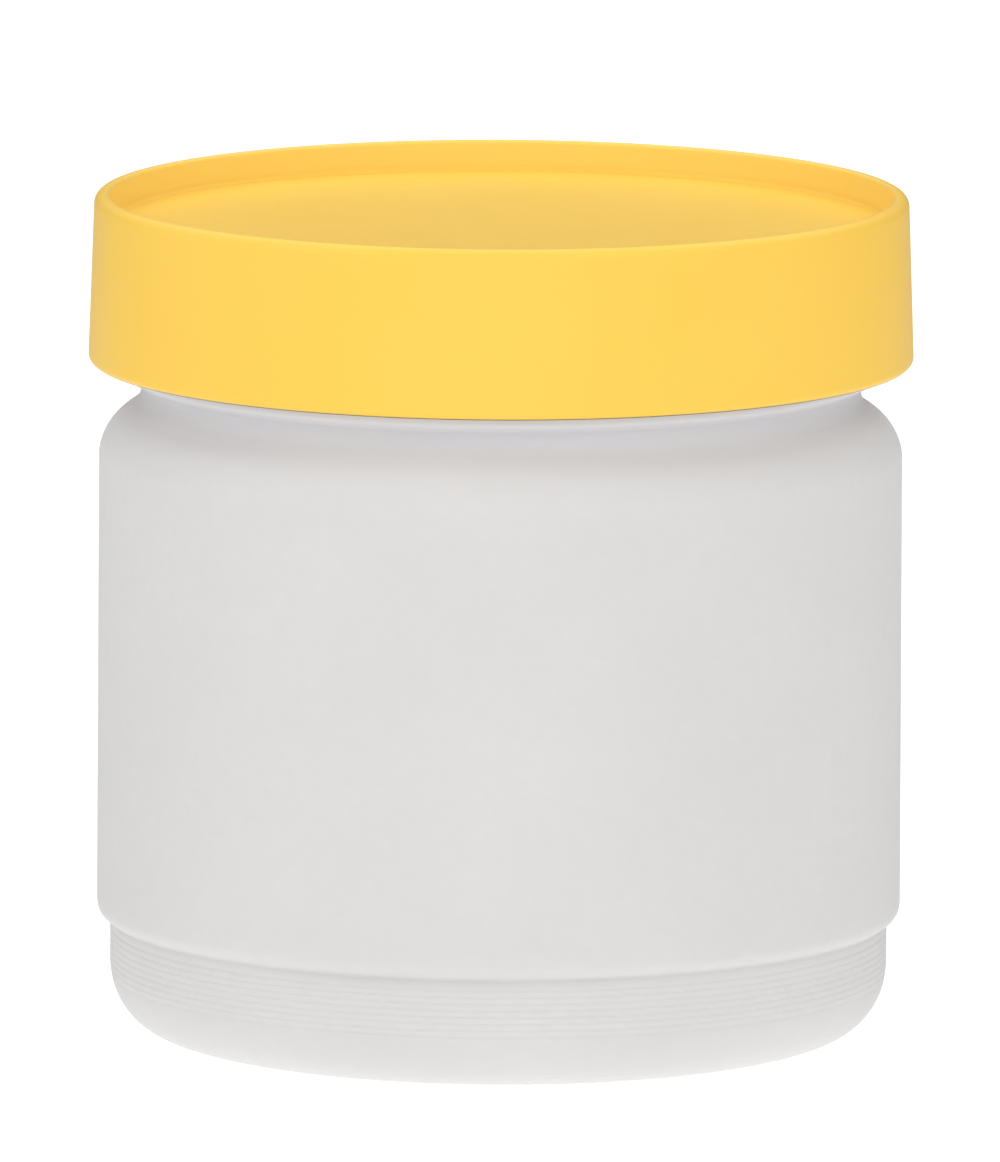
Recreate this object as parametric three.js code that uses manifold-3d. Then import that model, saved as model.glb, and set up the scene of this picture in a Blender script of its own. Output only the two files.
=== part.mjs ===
// Wide-mouth paint jar with a screw lid: a moulded plastic jar, a screw lid and the sealing disc
// that sits inside the lid. Millimetres, +Z up, origin at the centre of the plane the foot rests on.

import * as THREE from "three";
import { mergeVertices } from "three/addons/utils/BufferGeometryUtils.js";
import Module from "manifold-3d";

const wasm = await Module();
wasm.setup();

// ---- Driving dimensions ----

const SEGMENTS = 60; // facets round every turned shape
const CLEARANCE = 0.3; // gap kept between pieces that touch when the jar is closed

// Heights of the jar, from the foot up
const OVERALL_HEIGHT = 94.58;
const WAIST_HEIGHT = 12.8; // crease between the foot and the body wall
const SHOULDER_HEIGHT = 65.0; // where the straight wall starts to turn in
const BEAD_HEIGHT = 74.15; // underside of the neck bead
const BEAD_TOP = 76.9;

// Body
const WALL = 1.5;
const BODY_RADIUS_LOW = 45.12;
const BODY_RADIUS_HIGH = 45.0;
const WAIST_STEP = 1.35; // how far the wall stands out over the foot
const WAIST_ROUND = 1.65; // height of the rounded edge above the crease
const SHOULDER_REACH = 7.5;
const SHOULDER_RISE = 6.5;
const GROOVE_RADIUS = 40.3; // waist between the shoulder and the neck bead

// Foot
const FOOT_RADIUS = 43.65;
const FOOT_CORNER_REACH = 6.6;
const FOOT_CORNER_RISE = 7.8;
const RING_INNER_RADIUS = 35.4; // flat ring that the jar stands on
const PUSH_UP = 2.6; // how far the middle of the base is raised
const FLOOR = 1.6;
const RIDGES = 7;
const RIDGE_PITCH = 0.75;
const RIDGE_START = 6.25;
const RIDGE_DEPTH = 0.18;

// Neck
const BEAD_RADIUS = 42.6;
const NECK_RADIUS = 42.3;
const NECK_BORE = 40.9;
const RIM_ROUND = 0.45;

// Screw thread, right-hand, single start
const PITCH = 5.08;
const THREAD_TURNS = 1.25;
const THREAD_HEIGHT = 1.3;
const THREAD_CREST = 1.1;
const THREAD_FLANK = 0.54; // axial spread of each flank for each millimetre of height
const THREAD_SUNK = 0.5; // how far the thread's root is sunk into the wall that carries it
const THREAD_BELOW_RIM = 1.8;
const THREAD_OFFSET = 1.9; // lid thread below the jar thread when the lid is tight
const THREAD_START = THREE.MathUtils.degToRad(2);
const LID_THREAD_LAG = THREE.MathUtils.degToRad(52);
const THREAD_RUNOUT = THREE.MathUtils.degToRad(40);

// Lid
const LID_HEIGHT = 18.3;
const LID_RADIUS_LOW = 46.25;
const LID_RADIUS_HIGH = 45.6;
const LID_EDGE_ROUND = 1.15;
const LID_SKIRT_ROUND = 0.8;
const LID_BORE = 44.15;
const LID_MOUTH_CHAMFER = 0.6;
const RECESS_DEPTH = 3.43;
const RECESS_RADIUS = 43.9;
const RECESS_LIP_ROUND = 0.5;
const RECESS_FILLET = 0.7;
const PANEL = 1.55;

// Sealing disc
const LINER_RADIUS = 43.6;
const LINER_THICKNESS = 1.0;

// Heights that follow from the driving dimensions
const LID_BASE = OVERALL_HEIGHT - LID_HEIGHT;
const PANEL_UNDERSIDE = LID_HEIGHT - RECESS_DEPTH - PANEL;
const LINER_BASE = PANEL_UNDERSIDE - CLEARANCE - LINER_THICKNESS;
const RIM_HEIGHT = LID_BASE + LINER_BASE - CLEARANCE;

// ---- Geometry helpers ----

const point = (radius, height) => new THREE.Vector2(radius, height);

// Points along an elliptical arc of a profile, between two angles in degrees.
function arc(radius, height, reach, rise, from, to, steps) {
  const centre = point(radius, height);
  return Array.from({ length: steps + 1 }, (_, i) => {
    const angle = THREE.MathUtils.degToRad(from + ((to - from) * i) / steps);
    return point(reach * Math.cos(angle), rise * Math.sin(angle)).add(centre);
  });
}

// Turns a profile, which starts and ends on the axis, about the vertical axis.
function turned(profile) {
  return new THREE.LatheGeometry(profile, SEGMENTS).rotateX(Math.PI / 2);
}

// A thread of trapezoid section, extruded straight and then wound on to a wall. `side` is +1 for a
// thread that stands out from a neck and winds down, and -1 for one that stands in from a skirt and
// winds up. Both are right-hand. The crest sinks into the wall at each end.
function thread(wallRadius, side, startAngle, startHeight) {
  const root = -THREAD_SUNK;
  const crestHalf = THREAD_CREST / 2;
  const rootHalf = crestHalf + THREAD_FLANK * (THREAD_HEIGHT + THREAD_SUNK);
  const section = new THREE.Shape([
    point(root, -rootHalf),
    point(THREAD_HEIGHT, -crestHalf),
    point(THREAD_HEIGHT, crestHalf),
    point(root, rootHalf),
  ]);
  const sweep = THREAD_TURNS * 2 * Math.PI;
  const bar = new THREE.ExtrudeGeometry(section, {
    depth: sweep,
    steps: Math.round(THREAD_TURNS * SEGMENTS),
    bevelEnabled: false,
  });
  const place = bar.getAttribute("position");
  for (let i = 0; i < place.count; i++) {
    const along = place.getZ(i);
    const fromEnd = Math.min(1, Math.min(along, sweep - along) / THREAD_RUNOUT);
    const crest = THREE.MathUtils.lerp(root / 2, THREAD_HEIGHT, fromEnd);
    const radius = wallRadius + side * (place.getX(i) > 0 ? crest : root);
    const angle = startAngle - side * along;
    const height = startHeight - (side * PITCH * along) / (2 * Math.PI) + place.getY(i);
    place.setXYZ(i, radius * Math.cos(angle), radius * Math.sin(angle), height);
  }
  return bar;
}

// A closed geometry as a manifold-3d solid.
function solid(geometry) {
  const bare = geometry.clone();
  bare.deleteAttribute("normal");
  bare.deleteAttribute("uv");
  const merged = mergeVertices(bare, 1e-4);
  return new wasm.Manifold(
    new wasm.Mesh({
      numProp: 3,
      vertProperties: merged.getAttribute("position").array,
      triVerts: new Uint32Array(merged.index.array),
    }),
  );
}

// Joins two closed geometries into one.
function joined(first, second) {
  const mesh = solid(first).add(solid(second)).getMesh();
  const geometry = new THREE.BufferGeometry();
  geometry.setAttribute("position", new THREE.BufferAttribute(mesh.vertProperties, mesh.numProp));
  geometry.setIndex(new THREE.BufferAttribute(mesh.triVerts, 1));
  geometry.computeVertexNormals();
  return geometry;
}

function piece(name, geometry, material) {
  const mesh = new THREE.Mesh(geometry, material);
  mesh.name = name;
  return mesh;
}

// ---- Jar ----

// Outer radius of the foot at a height: a rounded corner that meets an upright wall.
function footRadius(height) {
  const below = Math.max(0, FOOT_CORNER_RISE - height) / FOOT_CORNER_RISE;
  return FOOT_RADIUS - FOOT_CORNER_REACH * (1 - Math.sqrt(1 - below * below));
}

// Base: a raised middle and the flat ring that the jar stands on.
function basePoints() {
  return [
    point(0, PUSH_UP),
    point(RING_INNER_RADIUS - 9, PUSH_UP - 0.4),
    point(RING_INNER_RADIUS - 4, PUSH_UP - 1.1),
    point(RING_INNER_RADIUS - 1.2, 0.4),
    point(RING_INNER_RADIUS, 0),
  ];
}

// Foot: a rounded corner, then a band of fine ridges.
function footPoints() {
  const rounded = [0, 0.35, 1.2, 2.6, 4.3].map((height) => point(footRadius(height), height));
  const ridged = Array.from({ length: 2 * RIDGES + 1 }, (_, i) => {
    const height = RIDGE_START + (i * RIDGE_PITCH) / 2;
    return point(footRadius(height) - (i % 2 ? 0 : RIDGE_DEPTH), height);
  });
  return [...rounded, ...ridged];
}

// Body: out over the waist, up the wall, over the shoulder and in to the groove.
function bodyPoints() {
  const waistRadius = BODY_RADIUS_LOW - WAIST_STEP;
  const shoulderCentre = BODY_RADIUS_HIGH - SHOULDER_REACH;
  const grooveAngle = THREE.MathUtils.radToDeg(
    Math.acos((GROOVE_RADIUS - shoulderCentre) / SHOULDER_REACH),
  );
  return [
    point(FOOT_RADIUS, WAIST_HEIGHT - 0.3),
    ...arc(waistRadius, WAIST_HEIGHT + WAIST_ROUND, WAIST_STEP, WAIST_ROUND, -90, 0, 3),
    ...arc(shoulderCentre, SHOULDER_HEIGHT, SHOULDER_REACH, SHOULDER_RISE, 0, grooveAngle, 6),
  ];
}

// Neck: the groove, the bead above it, the threaded wall and the rounded rim.
function neckPoints() {
  return [
    point(GROOVE_RADIUS, BEAD_HEIGHT - 0.6),
    point(GROOVE_RADIUS + 0.5, BEAD_HEIGHT - 0.2),
    point(BEAD_RADIUS - 0.3, BEAD_HEIGHT),
    point(BEAD_RADIUS, BEAD_HEIGHT + 0.3),
    point(BEAD_RADIUS, BEAD_TOP - 0.3),
    point(NECK_RADIUS, BEAD_TOP),
    point(NECK_RADIUS, RIM_HEIGHT - RIM_ROUND),
    point(NECK_RADIUS - RIM_ROUND, RIM_HEIGHT),
    point(NECK_BORE + RIM_ROUND, RIM_HEIGHT),
  ];
}

// Inside: the bore, the inside of the groove, shoulder, wall and waist, and the floor.
function insidePoints() {
  const shoulderCentre = BODY_RADIUS_HIGH - SHOULDER_REACH;
  const reach = SHOULDER_REACH - WALL;
  const rise = SHOULDER_RISE - WALL;
  const grooveBore = GROOVE_RADIUS - WALL + 0.1;
  const grooveAngle = THREE.MathUtils.radToDeg(Math.acos((grooveBore - shoulderCentre) / reach));
  const footBore = FOOT_RADIUS - WALL;
  const cornerReach = FOOT_CORNER_REACH - 0.6;
  const cornerRise = FOOT_CORNER_RISE - 1.2;
  return [
    point(NECK_BORE, RIM_HEIGHT - RIM_ROUND),
    point(NECK_BORE, BEAD_HEIGHT + 1.9),
    point(grooveBore, BEAD_HEIGHT - 0.6),
    ...arc(shoulderCentre, SHOULDER_HEIGHT, reach, rise, grooveAngle, 0, 4),
    point(BODY_RADIUS_LOW - WALL, WAIST_HEIGHT + WAIST_ROUND),
    point(footBore, WAIST_HEIGHT + 0.2),
    ...arc(footBore - cornerReach, FLOOR + cornerRise, cornerReach, cornerRise, 0, -90, 4),
    point(RING_INNER_RADIUS - 1.2, FLOOR + 0.4),
    point(RING_INNER_RADIUS - 4, FLOOR + PUSH_UP - 1.1),
    point(0, FLOOR + PUSH_UP),
  ];
}

function jarBody() {
  const profile = [
    ...basePoints(),
    ...footPoints(),
    ...bodyPoints(),
    ...neckPoints(),
    ...insidePoints(),
  ];
  const winding = thread(NECK_RADIUS, 1, THREAD_START, RIM_HEIGHT - THREAD_BELOW_RIM);
  return joined(turned(profile), winding);
}

// ---- Lid, in a frame whose base is the lower edge of the skirt ----

function lidShell() {
  const round = LID_EDGE_ROUND;
  const skirt = LID_SKIRT_ROUND;
  const floor = LID_HEIGHT - RECESS_DEPTH;
  const lip = RECESS_LIP_ROUND;
  const fillet = RECESS_FILLET;
  return turned([
    point(0, PANEL_UNDERSIDE),
    point(LID_BORE - LID_MOUTH_CHAMFER, PANEL_UNDERSIDE),
    point(LID_BORE, PANEL_UNDERSIDE - LID_MOUTH_CHAMFER),
    point(LID_BORE, LID_MOUTH_CHAMFER),
    point(LID_BORE + LID_MOUTH_CHAMFER, 0),
    ...arc(LID_RADIUS_LOW - skirt, skirt, skirt, skirt, -90, 0, 3),
    ...arc(LID_RADIUS_HIGH - round, LID_HEIGHT - round, round, round, 0, 90, 4),
    ...arc(RECESS_RADIUS + lip, LID_HEIGHT - lip, lip, lip, 90, 180, 2),
    ...arc(RECESS_RADIUS - fillet, floor + fillet, fillet, fillet, 0, -90, 2),
    point(0, floor),
  ]);
}

function lid() {
  // The lid's thread lies on the jar thread's own helix, moved down by the offset.
  const top = RIM_HEIGHT - THREAD_BELOW_RIM - THREAD_OFFSET - LID_BASE;
  const below = LID_THREAD_LAG + THREAD_TURNS * 2 * Math.PI;
  const startHeight = top - (PITCH * below) / (2 * Math.PI);
  return joined(lidShell(), thread(LID_BORE, -1, THREAD_START - below, startHeight));
}

// ---- Sealing disc, in the same frame as the lid ----

function liner() {
  return turned([
    point(0, LINER_BASE),
    point(LINER_RADIUS, LINER_BASE),
    point(LINER_RADIUS, LINER_BASE + LINER_THICKNESS),
    point(0, LINER_BASE + LINER_THICKNESS),
  ]);
}

// ---- Materials and assembly ----

const frostedWhite = new THREE.MeshStandardMaterial({
  color: 0xdedddb,
  roughness: 0.5,
  metalness: 0,
});

const yellow = new THREE.MeshStandardMaterial({
  color: 0xffd764,
  roughness: 0.35,
  metalness: 0,
});

const foamWhite = new THREE.MeshStandardMaterial({
  color: 0xf1f0ec,
  roughness: 0.85,
  metalness: 0,
});

const closure = new THREE.Group();
closure.position.z = LID_BASE;
closure.add(piece("lid", lid(), yellow));
closure.add(piece("lid_liner", liner(), foamWhite));

const paintJar = new THREE.Group();
paintJar.add(piece("jar_body", jarBody(), frostedWhite));
paintJar.add(closure);

export default paintJar;
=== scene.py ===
"""A wide-mouth paint jar with a screw lid: fine surfaces, materials and studio round the CAD frame.

Outlines are worked out in millimetres, in the CAD frame, and meshes are made in metres.
"""

import math

import bpy
from mathutils import Matrix, Vector


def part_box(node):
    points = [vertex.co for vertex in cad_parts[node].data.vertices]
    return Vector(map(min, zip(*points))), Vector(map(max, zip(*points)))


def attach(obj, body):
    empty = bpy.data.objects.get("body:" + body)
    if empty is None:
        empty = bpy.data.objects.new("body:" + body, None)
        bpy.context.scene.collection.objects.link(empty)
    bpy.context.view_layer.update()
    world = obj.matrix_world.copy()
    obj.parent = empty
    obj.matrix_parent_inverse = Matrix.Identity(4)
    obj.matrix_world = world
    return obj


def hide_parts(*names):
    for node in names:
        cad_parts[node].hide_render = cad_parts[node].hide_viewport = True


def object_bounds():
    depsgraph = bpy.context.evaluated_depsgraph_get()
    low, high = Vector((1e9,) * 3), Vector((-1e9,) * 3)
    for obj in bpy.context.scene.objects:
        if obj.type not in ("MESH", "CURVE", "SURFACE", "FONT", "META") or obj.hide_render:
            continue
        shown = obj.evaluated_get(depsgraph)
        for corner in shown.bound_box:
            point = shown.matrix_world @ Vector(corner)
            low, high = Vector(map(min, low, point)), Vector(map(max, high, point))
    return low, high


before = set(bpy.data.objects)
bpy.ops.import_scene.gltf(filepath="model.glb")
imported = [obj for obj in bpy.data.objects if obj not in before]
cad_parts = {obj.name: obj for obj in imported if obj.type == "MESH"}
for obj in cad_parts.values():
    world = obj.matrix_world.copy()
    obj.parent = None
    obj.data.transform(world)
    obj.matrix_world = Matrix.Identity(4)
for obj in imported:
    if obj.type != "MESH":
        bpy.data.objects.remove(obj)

MM = 0.001
TURN = 2 * math.pi
cad_low, cad_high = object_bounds()


# ---- Camera ----

CAMERA_PLACE = (0.0, -2.5, 0.4424)
CAMERA_PITCH = math.radians(8.905)
CAMERA_ROLL = math.radians(0.286)
CAMERA_LENS = 698.5


def make_camera():
    data = bpy.data.cameras.new("camera")
    data.sensor_width = 36
    data.lens = CAMERA_LENS
    camera = bpy.data.objects.new("camera", data)
    level = Matrix.Rotation(math.pi / 2 - CAMERA_PITCH, 4, "X")
    lean = Matrix.Rotation(CAMERA_ROLL, 4, "Z")
    camera.matrix_world = Matrix.Translation(CAMERA_PLACE) @ level @ lean
    bpy.context.scene.collection.objects.link(camera)
    bpy.context.scene.camera = camera


make_camera()
bpy.context.scene.view_settings.view_transform = "Standard"


# ---- Studio levels ----

FLOOR_HALF_SIZE = 8.0
FLOOR_GAP = 0.00005
FLOOR_GREY = 0.35
FLOOR_GLOW = 0.82

# The world's brightness at five heights of direction, on the camera's side and on the far side
WORLD_STRENGTH = 2.0
WORLD_HEIGHTS = (-0.9, -0.35, 0.0, 0.35, 0.9)
WORLD_FRONT = (0.54, 0.4, 0.46, 0.46, 0.15)
WORLD_BACK = (0.9, 0.46, 0.08, 0.1, 1.0)
LEFT_POWER = 15.0
RIGHT_POWER = 14.0
FRONT_POWER = 10.5
LIGHT_DISTANCE = 3.0


# ---- Sizes, in millimetres ----

def span(node):
    """Radius, lowest height and highest height of a turned CAD node."""
    low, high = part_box(node)
    return high.x / MM, low.z / MM, high.z / MM


BODY_RADIUS, _, RIM = span("jar_body")
LID_RADIUS, LID_BASE, LID_TOP = span("lid")
LINER_RADIUS, LINER_BASE, LINER_TOP = span("lid_liner")

WALL = 1.5

# Foot
PUSH_UP = 2.6
GATE_RADIUS = 0.9
GATE_DEPTH = 0.4
STEP_RADIUS = 20.5
STEP_DEPTH = 0.5
RING_INNER = 35.4
FOOT_RADIUS = 43.65
FOOT_REACH = 6.6
FOOT_RISE = 7.8
RIDGES = 7
RIDGE_PITCH = 0.75
RIDGE_FIRST = 6.625
RIDGE_DEPTH = 0.085

# Body
WAIST = 12.8
WAIST_STEP = 1.35
WAIST_ROUND = 1.65
WAIST_LIFT = 0.06
WAIST_FILLET = 0.5
SHOULDER = 65.0
SHOULDER_RADIUS = 45.0
SHOULDER_REACH = 7.5
SHOULDER_RISE = 6.5
SHOULDER_SWEEP = 52
GROOVE_RADIUS = 40.3
GROOVE_FILLET = 2.4

# Neck
BEAD_BASE = 74.15
BEAD_TOP = 76.9
BEAD_RADIUS = 42.6
BEAD_FILLET = 0.9
NECK_RADIUS = 42.3
NECK_BORE = 40.9
RIM_ROUND = 0.45

# Thread: right-hand, single start
PITCH = 5.08
THREAD_SWEEP = 1.25 * TURN
THREAD_START = math.radians(2)
THREAD_RUNOUT = math.radians(40)
THREAD_HEIGHT = 1.3
THREAD_CREST_HALF = 0.55
THREAD_ROOT_HALF = 1.25
JAR_THREAD_TOP = RIM - 1.8
LID_THREAD_DROP = 1.9
LID_THREAD_LAG = math.radians(52)

# Lid
LID_TOP_RADIUS = 45.6
LID_EDGE_ROUND = 1.15
LID_SKIRT_ROUND = 0.8
LID_BORE = 44.15
RECESS_RADIUS = 43.9
RECESS_DEPTH = 3.43
RECESS_FILLET = 0.6
PANEL = 1.55

# Mesh fineness
COLUMNS = 300
SEAM_HALF_WIDTH = math.radians(0.35)
SEAM_HEIGHT = 0.035
ROW = 0.3
THREAD_ROW = 0.14
ROWS_PER_RIDGE = 10


# ---- Outlines: lists of (radius, height) ----

def arc(radius, height, reach, rise, start, end):
    """An elliptical arc about (radius, height), between two angles in degrees."""
    steps = max(5, math.ceil(math.radians(abs(end - start)) * max(reach, rise) / ROW))
    angles = [math.radians(start + (end - start) * i / steps) for i in range(steps + 1)]
    return [(radius + reach * math.cos(a), height + rise * math.sin(a)) for a in angles]


def line(start, end, row):
    """Evenly spaced points from start to end, both included."""
    steps = max(1, math.ceil(math.dist(start, end) / row))
    return [tuple(Vector(start).lerp(Vector(end), i / steps)) for i in range(steps + 1)]


def rounded(corners):
    """A path through (radius, height, round) corners, each rounded to its own radius."""
    path = [corners[0][:2]]
    for before, (x, y, radius), after in zip(corners, corners[1:], corners[2:]):
        here = Vector((x, y))
        if not radius:
            path.append((x, y))
            continue
        back = (Vector(before[:2]) - here).normalized()
        ahead = (Vector(after[:2]) - here).normalized()
        half = back.angle(ahead) / 2
        centre = here + (back + ahead).normalized() * radius / math.sin(half)
        first = here + back * radius / math.tan(half) - centre
        last = here + ahead * radius / math.tan(half) - centre
        bend = math.pi - 2 * half
        steps = max(3, math.ceil(bend / math.radians(12)))
        for i in range(steps + 1):
            share = i / steps
            spoke = (first * math.sin((1 - share) * bend) + last * math.sin(share * bend))
            path.append(tuple(centre + spoke / math.sin(bend)))
    path.append(corners[-1][:2])
    return path


# ---- Surface relief: how far a point stands out from its outline, in millimetres ----

def seam(angle, height):
    """The fine parting line of the mould, on two opposite sides."""
    off = abs((angle + math.pi / 2) % math.pi - math.pi / 2)
    return SEAM_HEIGHT * max(0.0, 1 - off / SEAM_HALF_WIDTH)


def smooth(share):
    """Eases a share from 0 to 1, with a level start and end."""
    share = min(1.0, max(0.0, share))
    return share * share * (3 - 2 * share)


def thread(top_angle, top_height):
    """A thread that winds down from its upper end."""
    def stand(angle, height):
        best = 0.0
        for turns in range(-2, 3):
            wound = top_angle - (angle + turns * TURN)
            if not 0 <= wound <= THREAD_SWEEP:
                continue
            off = abs(height - (top_height - PITCH * wound / TURN))
            flank = (THREAD_ROOT_HALF - off) / (THREAD_ROOT_HALF - THREAD_CREST_HALF)
            runout = min(wound, THREAD_SWEEP - wound) / THREAD_RUNOUT
            best = max(best, THREAD_HEIGHT * smooth(flank) * smooth(runout))
        return best
    return stand


jar_thread = thread(THREAD_START, JAR_THREAD_TOP)
lid_thread_top = JAR_THREAD_TOP - LID_THREAD_DROP - PITCH * LID_THREAD_LAG / TURN
lid_thread = thread(THREAD_START - LID_THREAD_LAG, lid_thread_top)


# ---- Turned meshes ----

def columns():
    """Angles of the mesh's columns, closer together across each parting line."""
    even = {TURN * i / COLUMNS for i in range(COLUMNS)}
    fine = {side + SEAM_HALF_WIDTH * i / 2 for side in (0, math.pi) for i in range(-2, 3)}
    return sorted(even | {a % TURN for a in fine})


def turned(name, sections):
    """A closed turned mesh. Each section is an outline and the relief on it, or None; the whole
    outline starts and ends on the axis."""
    angles = columns()
    verts, rows = [], []
    for outline, relief in sections:
        for radius, height in outline:
            if radius < 1e-6:
                rows.append([len(verts)] * len(angles))
                verts.append((0.0, 0.0, height * MM))
                continue
            rows.append(range(len(verts), len(verts) + len(angles)))
            for angle in angles:
                out = (radius + (relief(angle, height) if relief else 0.0)) * MM
                verts.append((out * math.cos(angle), out * math.sin(angle), height * MM))
    faces = []
    for low, high in zip(rows, rows[1:]):
        for i in range(len(angles)):
            j = (i + 1) % len(angles)
            ring = (low[i], low[j], high[j], high[i])
            faces.append(tuple(dict.fromkeys(ring)))
    mesh = bpy.data.meshes.new(name)
    mesh.from_pydata(verts, [], faces)
    mesh.shade_smooth()
    piece = bpy.data.objects.new(name, mesh)
    bpy.context.scene.collection.objects.link(piece)
    return piece


# ---- Jar ----

def foot_radius(height):
    """Radius of the foot at a height, on its rounded corner or above it."""
    below = max(0.0, FOOT_RISE - height) / FOOT_RISE
    return FOOT_RADIUS - FOOT_REACH * (1 - math.sqrt(1 - below * below))


def ridge(height):
    """Depth of the fine grooves between the ridges of the foot, at a height."""
    place = (height - RIDGE_FIRST) / RIDGE_PITCH
    if not -0.5 <= place <= RIDGES - 0.5:
        return 0.0
    return RIDGE_DEPTH * (1 - abs(math.cos(math.pi * place))) ** 2


def base_outline():
    """Underside: a gate mark, the raised middle with a step in it, and the resting ring."""
    ring_outer = FOOT_RADIUS - FOOT_REACH
    return rounded([
        (0, PUSH_UP - GATE_DEPTH, 0),
        (GATE_RADIUS, PUSH_UP - GATE_DEPTH, 0.2),
        (GATE_RADIUS + 0.3, PUSH_UP, 0.2),
        (STEP_RADIUS, PUSH_UP - 0.15, 0.5),
        (STEP_RADIUS + 0.8, PUSH_UP - STEP_DEPTH, 0.5),
        (RING_INNER - 5.8, PUSH_UP - 0.7, 4),
        (RING_INNER - 1.1, 0.3, 1.2),
        (RING_INNER, 0, 0.8),
        (ring_outer, 0, 0),
    ])


def foot_outline():
    """The foot's rounded corner and the ridged band above it."""
    corner = [p for p in arc(FOOT_RADIUS - FOOT_REACH, FOOT_RISE, FOOT_REACH, FOOT_RISE, -90, 0)
              if 0.01 < p[1] < RIDGE_FIRST - RIDGE_PITCH / 2]
    start = RIDGE_FIRST - RIDGE_PITCH / 2
    steps = RIDGES * ROWS_PER_RIDGE
    heights = [start + RIDGES * RIDGE_PITCH * i / steps for i in range(steps + 1)]
    ridged = [(foot_radius(h) - ridge(h), h) for h in heights]
    return corner + ridged


def body_outline():
    """The soft crease at the waist, the body's rounded lower edge, its wall and its shoulder."""
    waist_radius = BODY_RADIUS - WAIST_STEP
    crease = rounded([
        (FOOT_RADIUS, WAIST - 1.1, 0),
        (FOOT_RADIUS, WAIST - 0.1, WAIST_FILLET),
        (waist_radius + 0.42, WAIST + 0.12, 0),
    ])
    edge_height = WAIST + WAIST_LIFT + WAIST_ROUND
    edge = arc(waist_radius, edge_height, WAIST_STEP, WAIST_ROUND, -66, 0)
    shoulder_centre = SHOULDER_RADIUS - SHOULDER_REACH
    wall = line(edge[-1], (SHOULDER_RADIUS, SHOULDER), 4)[1:-1]
    shoulder = arc(shoulder_centre, SHOULDER, SHOULDER_REACH, SHOULDER_RISE, 0, SHOULDER_SWEEP)
    return crease + edge + wall + shoulder


def neck_outline():
    """From the end of the shoulder through the groove and over the bead."""
    sweep = math.radians(SHOULDER_SWEEP)
    end = (SHOULDER_RADIUS - SHOULDER_REACH * (1 - math.cos(sweep)),
           SHOULDER + SHOULDER_RISE * math.sin(sweep))
    slope = SHOULDER_RISE * math.cos(sweep) / (SHOULDER_REACH * math.sin(sweep))
    groove_low = end[1] + slope * (end[0] - GROOVE_RADIUS)
    return rounded([
        (*end, 0),
        (GROOVE_RADIUS, groove_low, GROOVE_FILLET),
        (GROOVE_RADIUS, BEAD_BASE - 0.8, BEAD_FILLET),
        (BEAD_RADIUS, BEAD_BASE + 0.3, BEAD_FILLET),
        (BEAD_RADIUS, BEAD_TOP, 0.3),
        (NECK_RADIUS, BEAD_TOP + 0.15, 0),
    ])[1:]


def rim_outline():
    return rounded([
        (NECK_RADIUS, RIM - 0.9, 0),
        (NECK_RADIUS, RIM, RIM_ROUND),
        (NECK_BORE, RIM, RIM_ROUND),
        (NECK_BORE, RIM - 0.9, 0),
    ])


def inside_outline():
    """From the bore down the groove, shoulder and wall, and across the floor to the axis."""
    groove_bore = GROOVE_RADIUS - WALL + 0.1
    reach = SHOULDER_REACH - WALL
    centre = SHOULDER_RADIUS - SHOULDER_REACH
    reach_in = math.degrees(math.acos((groove_bore + 0.3 - centre) / reach))
    foot_bore = FOOT_RADIUS - WALL
    floor = WALL + 0.1
    neck = rounded([
        (NECK_BORE, BEAD_BASE + 4, 0),
        (NECK_BORE, BEAD_BASE + 1.9, 1.2),
        (groove_bore, BEAD_BASE - 0.4, 1.2),
        (groove_bore, BEAD_BASE - 2.6, 0),
    ])
    shoulder = arc(centre, SHOULDER, reach, SHOULDER_RISE - WALL, reach_in, 0)
    waist = rounded([
        (BODY_RADIUS - WALL, WAIST + WAIST_ROUND + 3, 0),
        (BODY_RADIUS - WALL, WAIST + WAIST_ROUND, 1.5),
        (foot_bore, WAIST + 0.2, 1),
        (foot_bore, WAIST - 2, 0),
    ])
    corner_reach, corner_rise = FOOT_REACH - 0.6, FOOT_RISE - 1.2
    corner = arc(foot_bore - corner_reach, floor + corner_rise, corner_reach, corner_rise, 0, -90)
    base = rounded([
        (RING_INNER - 0.2, floor + 0.1, 0),
        (RING_INNER - 1.2, floor + 0.4, 1),
        (RING_INNER - 5.5, floor + PUSH_UP - 0.8, 4),
        (0, floor + PUSH_UP, 0),
    ])
    return neck + shoulder + waist + corner + base


def make_jar():
    neck_wall = line((NECK_RADIUS, BEAD_TOP + 0.4), (NECK_RADIUS, RIM - 1), THREAD_ROW)
    return turned("jar_shell", [
        (base_outline(), None),
        (foot_outline() + body_outline() + neck_outline(), seam),
        (neck_wall, jar_thread),
        (rim_outline() + inside_outline(), None),
    ])


# ---- Lid ----

def make_lid():
    """The panel's underside, the threaded bore, the skirt, the rounded rim and the recess."""
    underside = LID_TOP - RECESS_DEPTH - PANEL
    floor = LID_TOP - RECESS_DEPTH
    inner = rounded([
        (0, underside, 0),
        (LID_BORE, underside, 0.6),
        (LID_BORE, underside - 2, 0),
    ])
    wall_top = underside - 2.3
    wall = line((LID_BORE, wall_top), (LID_BORE, LID_BASE + 0.8), THREAD_ROW)
    skirt = rounded([
        (LID_BORE, LID_BASE + 0.7, 0),
        (LID_BORE + 0.45, LID_BASE, 0.25),
        (LID_RADIUS, LID_BASE, LID_SKIRT_ROUND),
        (LID_TOP_RADIUS, LID_TOP, LID_EDGE_ROUND),
        (RECESS_RADIUS + 0.05, LID_TOP, 0.45),
        (RECESS_RADIUS, floor, RECESS_FILLET),
        (0, floor, 0),
    ])
    return turned("lid_shell", [
        (inner, None),
        (wall, lambda angle, height: -lid_thread(angle, height)),
        (skirt, None),
    ])


# ---- Sealing disc ----

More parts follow.
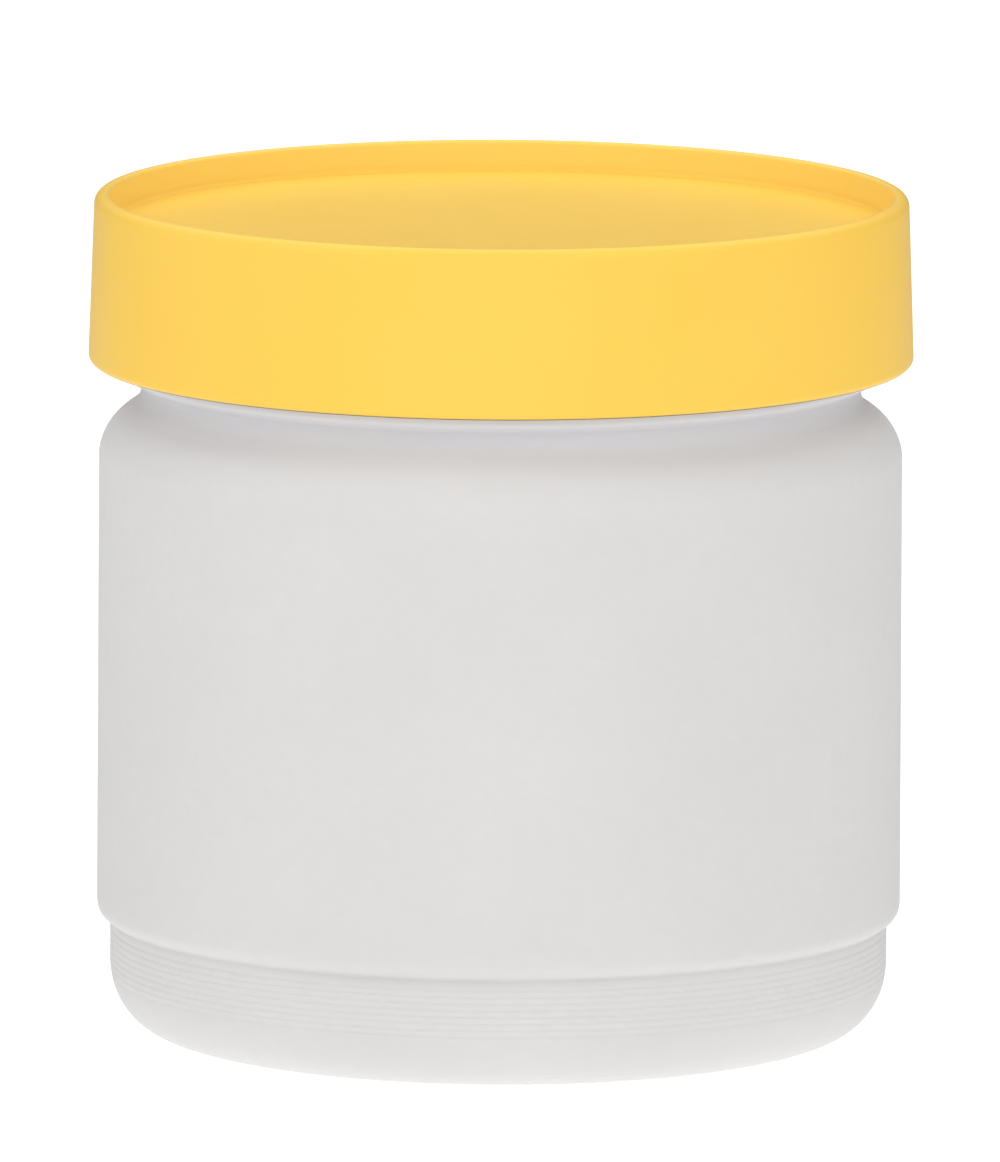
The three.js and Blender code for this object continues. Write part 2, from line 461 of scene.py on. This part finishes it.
def make_liner():
    """A foam disc with the shallow ring that the jar's rim has pressed into it."""
    return turned("liner_disc", [(rounded([
        (0, LINER_BASE, 0),
        (NECK_BORE - 0.5, LINER_BASE, 0.3),
        (NECK_BORE - 0.1, LINER_BASE + 0.1, 0.3),
        (NECK_RADIUS + 0.1, LINER_BASE + 0.1, 0.3),
        (NECK_RADIUS + 0.5, LINER_BASE, 0.2),
        (LINER_RADIUS, LINER_BASE, 0.2),
        (LINER_RADIUS, LINER_TOP, 0.2),
        (0, LINER_TOP, 0),
    ]), None)])


# ---- Materials ----

def linear(red, green, blue):
    """An sRGB colour, 0 to 255, as linear RGBA."""
    shares = [c / 255 for c in (red, green, blue)]
    straight = [s / 12.92 if s <= 0.04045 else ((s + 0.055) / 1.055) ** 2.4 for s in shares]
    return (*straight, 1.0)


class Shader:
    """Builds a node material round one Principled shader."""

    def __init__(self, name):
        self.material = bpy.data.materials.new(name)
        self.material.use_nodes = True
        self.tree = self.material.node_tree
        self.base = self.tree.nodes["Principled BSDF"]
        self.place = self.add("ShaderNodeTexCoord").outputs["Object"]

    def add(self, kind, inputs=None, **settings):
        node = self.tree.nodes.new(kind)
        for key, value in settings.items():
            setattr(node, key, value)
        for key, value in (inputs or {}).items():
            self.put(value, node.inputs[key])
        return node

    def put(self, value, socket):
        if isinstance(value, bpy.types.NodeSocket):
            self.tree.links.new(value, socket)
        else:
            socket.default_value = value

    def set(self, key, value):
        self.put(value, self.base.inputs[key])

    def noise(self, size_mm, detail):
        """Noise from 0 to 1 whose lumps are about size_mm across."""
        node = self.add("ShaderNodeTexNoise", {
            "Vector": self.place, "Scale": 1 / (size_mm * MM), "Detail": detail,
        })
        return node.outputs["Fac"]

    def math(self, operation, first, second):
        node = self.add("ShaderNodeMath", {0: first, 1: second}, operation=operation)
        return node.outputs[0]

    def ramp(self, value, low, high, to_low=0.0, to_high=1.0):
        """value taken from low..high to to_low..to_high, and held there."""
        node = self.add("ShaderNodeMapRange", {
            "Value": value, "From Min": low, "From Max": high,
            "To Min": to_low, "To Max": to_high,
        })
        return node.outputs["Result"]

    def mix(self, share, first, second):
        node = self.add("ShaderNodeMix", data_type="RGBA")
        self.put(share, node.inputs["Factor"])
        self.put(first, node.inputs[6])
        self.put(second, node.inputs[7])
        return node.outputs[2]

    def specks(self, cell_mm, size_mm, keep):
        """1 in a few small round specks, 0 elsewhere: one in each cell at most."""
        cells = self.add("ShaderNodeTexVoronoi", {
            "Vector": self.place, "Scale": 1 / (cell_mm * MM),
        })
        share = size_mm / cell_mm
        near = self.ramp(cells.outputs["Distance"], 0.5 * share, 0.3 * share)
        chance = self.add("ShaderNodeSeparateColor", {"Color": cells.outputs["Color"]})
        kept = self.math("LESS_THAN", chance.outputs["Red"], keep)
        return self.math("MULTIPLY", near, kept)

    def bump(self, layers):
        """Stacks (height, depth in millimetres) layers into one normal."""
        normal = None
        for height, depth in layers:
            node = self.add("ShaderNodeBump", {
                "Height": height, "Distance": depth * MM, "Strength": 1.0,
            })
            if normal:
                self.put(normal, node.inputs["Normal"])
            normal = node.outputs["Normal"]
        self.set("Normal", normal)


def frosted_white():
    """Translucent white plastic, finely mottled, with a few dark specks. From the top of the
    shoulder up it is painted a little lighter and cooler, as painted light against the shade under
    the lid."""
    s = Shader("frosted_white_plastic")
    cloud = s.noise(22, 2)
    tint = s.mix(s.ramp(cloud, 0.3, 0.7), linear(216, 215, 213), linear(219, 218, 216))
    mottle = s.noise(1.6, 3)
    tint = s.mix(s.ramp(mottle, 0.35, 0.65, 0.0, 0.2), tint, linear(214, 210, 210))
    height = s.add("ShaderNodeSeparateXYZ", {"Vector": s.place}).outputs["Z"]
    # Painted light: from the top of the shoulder up the plastic is painted lighter and cooler, to
    # lift the shade under the lid's overhang and cancel the yellow light the lid bounces down onto
    # it.
    neck_painted_light = s.ramp(height, (SHOULDER + 1.5) * MM, (SHOULDER + 5.5) * MM)
    tint = s.mix(neck_painted_light, tint, linear(226, 225, 227))
    speck = s.specks(22, 0.4, 0.2)
    tint = s.mix(s.math("MULTIPLY", speck, 0.45), tint, linear(120, 112, 104))
    s.set("Base Color", tint)
    s.set("Roughness", s.ramp(s.noise(4, 4), 0.3, 0.7, 0.52, 0.6))
    s.set("Specular IOR Level", 0.4)
    s.set("IOR", 1.49)
    s.set("Subsurface Weight", 0.5)
    s.set("Subsurface Radius", (1.0, 0.97, 0.93))
    s.set("Subsurface Scale", 2.5 * MM)
    s.bump([
        (s.noise(12, 2), 0.05),
        (s.noise(0.5, 2), 0.004),
    ])
    return s.material


def glossy_yellow():
    """Moulded yellow plastic: smooth, slightly wavy, with a few dust specks. The side of the recess
    is painted a paler yellow, as painted light, and the lowest edge of the skirt is painted dark,
    as painted shade."""
    s = Shader("yellow_plastic")
    cloud = s.noise(25, 2)
    tint = s.mix(s.ramp(cloud, 0.3, 0.7), linear(252, 206, 87), linear(252, 208, 91))
    speck = s.specks(20, 0.35, 0.2)
    tint = s.mix(s.math("MULTIPLY", speck, 0.35), tint, linear(170, 120, 30))
    height = s.add("ShaderNodeSeparateXYZ", {"Vector": s.place}).outputs["Z"]
    flat = s.add("ShaderNodeVectorMath", {0: s.place, 1: (1, 1, 0)}, operation="MULTIPLY")
    length = s.add("ShaderNodeVectorMath", {0: flat.outputs[0]}, operation="LENGTH")
    radius = length.outputs["Value"]
    # Painted light: the side of the recess is painted a paler yellow, to offset the deeper yellow
    # that light bounced between the recess's side and floor gives it.
    inward = s.ramp(radius, (RECESS_RADIUS + 0.6) * MM, (RECESS_RADIUS + 0.2) * MM)
    floor = LID_TOP - RECESS_DEPTH
    raised = s.ramp(height, (floor + 0.3) * MM, (floor + 0.9) * MM)
    tint = s.mix(s.math("MULTIPLY", inward, raised), tint, linear(250, 214, 107))
    # Painted shade: the lowest 0.1 to 0.2 mm of the skirt, with its flat underside, is painted
    # nearly black, a painted shadow line along the lid's lower edge that also keeps the lid from
    # bouncing yellow light onto the neck.
    edge = s.ramp(height, (LID_BASE + 0.2) * MM, (LID_BASE + 0.1) * MM, 0.0, 0.95)
    tint = s.mix(edge, tint, linear(48, 42, 38))
    s.set("Base Color", tint)
    s.set("Roughness", s.ramp(s.noise(6, 4), 0.3, 0.7, 0.29, 0.33))
    s.set("Specular IOR Level", 0.15)
    s.set("IOR", 1.49)
    s.set("Subsurface Weight", 0.08)
    s.set("Subsurface Radius", (1.0, 0.6, 0.15))
    s.set("Subsurface Scale", 1.0 * MM)
    s.bump([(s.noise(30, 0), 0.02)])
    return s.material


def foam_white():
    """Foamed sealing disc: fine closed cells under a matt film."""
    s = Shader("liner_foam")
    tint = s.mix(s.ramp(s.noise(3, 3), 0.3, 0.7), linear(240, 239, 234), linear(232, 230, 224))
    s.set("Base Color", tint)
    s.set("Roughness", 0.7)
    cells = s.add("ShaderNodeTexVoronoi", {"Vector": s.place, "Scale": 1 / (0.7 * MM)})
    s.bump([(cells.outputs["Distance"], 0.05)])
    return s.material


# ---- Studio ----

def make_floor():
    """A pale plane that only the camera sees: the world lights the jar from below through it."""
    size = FLOOR_HALF_SIZE
    mesh = bpy.data.meshes.new("floor")
    corners = [(-size, -size, 0), (size, -size, 0), (size, size, 0), (-size, size, 0)]
    mesh.from_pydata(corners, [], [(0, 1, 2, 3)])
    floor = bpy.data.objects.new("floor", mesh)
    floor.location.z = cad_low.z - FLOOR_GAP
    floor.visible_glossy = False
    floor.visible_diffuse = False
    floor.visible_shadow = False
    bpy.context.scene.collection.objects.link(floor)
    s = Shader("pale_floor")
    s.set("Base Color", (FLOOR_GREY, FLOOR_GREY, FLOOR_GREY, 1))
    s.set("Roughness", 1.0)
    s.set("Specular IOR Level", 0.0)
    s.set("Emission Color", (1, 1, 1, 1))
    s.set("Emission Strength", FLOOR_GLOW)
    mesh.materials.append(s.material)


def softbox(name, azimuth, elevation, size, power):
    """A square area light that faces the jar. Azimuth 0 is the camera's side, and turns to +X."""
    a, e = math.radians(azimuth), math.radians(elevation)
    away = Vector((math.sin(a) * math.cos(e), -math.cos(a) * math.cos(e), math.sin(e)))
    data = bpy.data.lights.new(name, "AREA")
    data.size = size
    data.energy = power
    light = bpy.data.objects.new(name, data)
    centre = (cad_low + cad_high) / 2
    light.location = centre + away * LIGHT_DISTANCE
    light.rotation_euler = away.to_track_quat("Z", "Y").to_euler()
    bpy.context.scene.collection.objects.link(light)


def make_world():
    """A pale studio. Each side has its own brightness at the five heights of WORLD_HEIGHTS."""
    world = bpy.data.worlds.new("studio")
    world.use_nodes = True
    tree = world.node_tree
    place = tree.nodes.new("ShaderNodeTexCoord")
    axes = tree.nodes.new("ShaderNodeSeparateXYZ")
    tree.links.new(place.outputs["Generated"], axes.inputs["Vector"])
    share = tree.nodes.new("ShaderNodeMapRange")
    share.inputs["From Min"].default_value = -1
    tree.links.new(axes.outputs["Z"], share.inputs["Value"])
    turn = tree.nodes.new("ShaderNodeMapRange")
    turn.interpolation_type = "SMOOTHSTEP"
    turn.inputs["From Min"].default_value = -0.7
    turn.inputs["From Max"].default_value = 0.7
    tree.links.new(axes.outputs["Y"], turn.inputs["Value"])
    blend = tree.nodes.new("ShaderNodeMix")
    blend.data_type = "RGBA"
    tree.links.new(turn.outputs["Result"], blend.inputs[0])
    for socket, levels in ((6, WORLD_FRONT), (7, WORLD_BACK)):
        ramp = tree.nodes.new("ShaderNodeValToRGB")
        ramp.name = "ramp_%d" % socket
        stops = ramp.color_ramp.elements
        while len(stops) < len(levels):
            stops.new(0.5)
        for i, (height, level) in enumerate(zip(WORLD_HEIGHTS, levels)):
            stops[i].position = (height + 1) / 2
            stops[i].color = (level, level, level, 1)
        tree.links.new(share.outputs["Result"], ramp.inputs["Fac"])
        tree.links.new(ramp.outputs["Color"], blend.inputs[socket])
    tree.links.new(blend.outputs[2], tree.nodes["Background"].inputs["Color"])
    tree.nodes["Background"].inputs["Strength"].default_value = WORLD_STRENGTH
    bpy.context.scene.world = world


def dress(piece, material, body, node):
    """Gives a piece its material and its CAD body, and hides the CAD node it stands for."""
    piece.data.materials.append(material)
    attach(piece, body)
    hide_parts(node)


dress(make_jar(), frosted_white(), "jar", "jar_body")
dress(make_lid(), glossy_yellow(), "lid", "lid")
dress(make_liner(), foam_white(), "liner", "lid_liner")

make_world()
make_floor()
softbox("softbox_left", -56, 36, 1.7, LEFT_POWER)
softbox("softbox_right", 37, 36, 1.6, RIGHT_POWER)
softbox("front_fill", 0, 10, 2.6, FRONT_POWER)
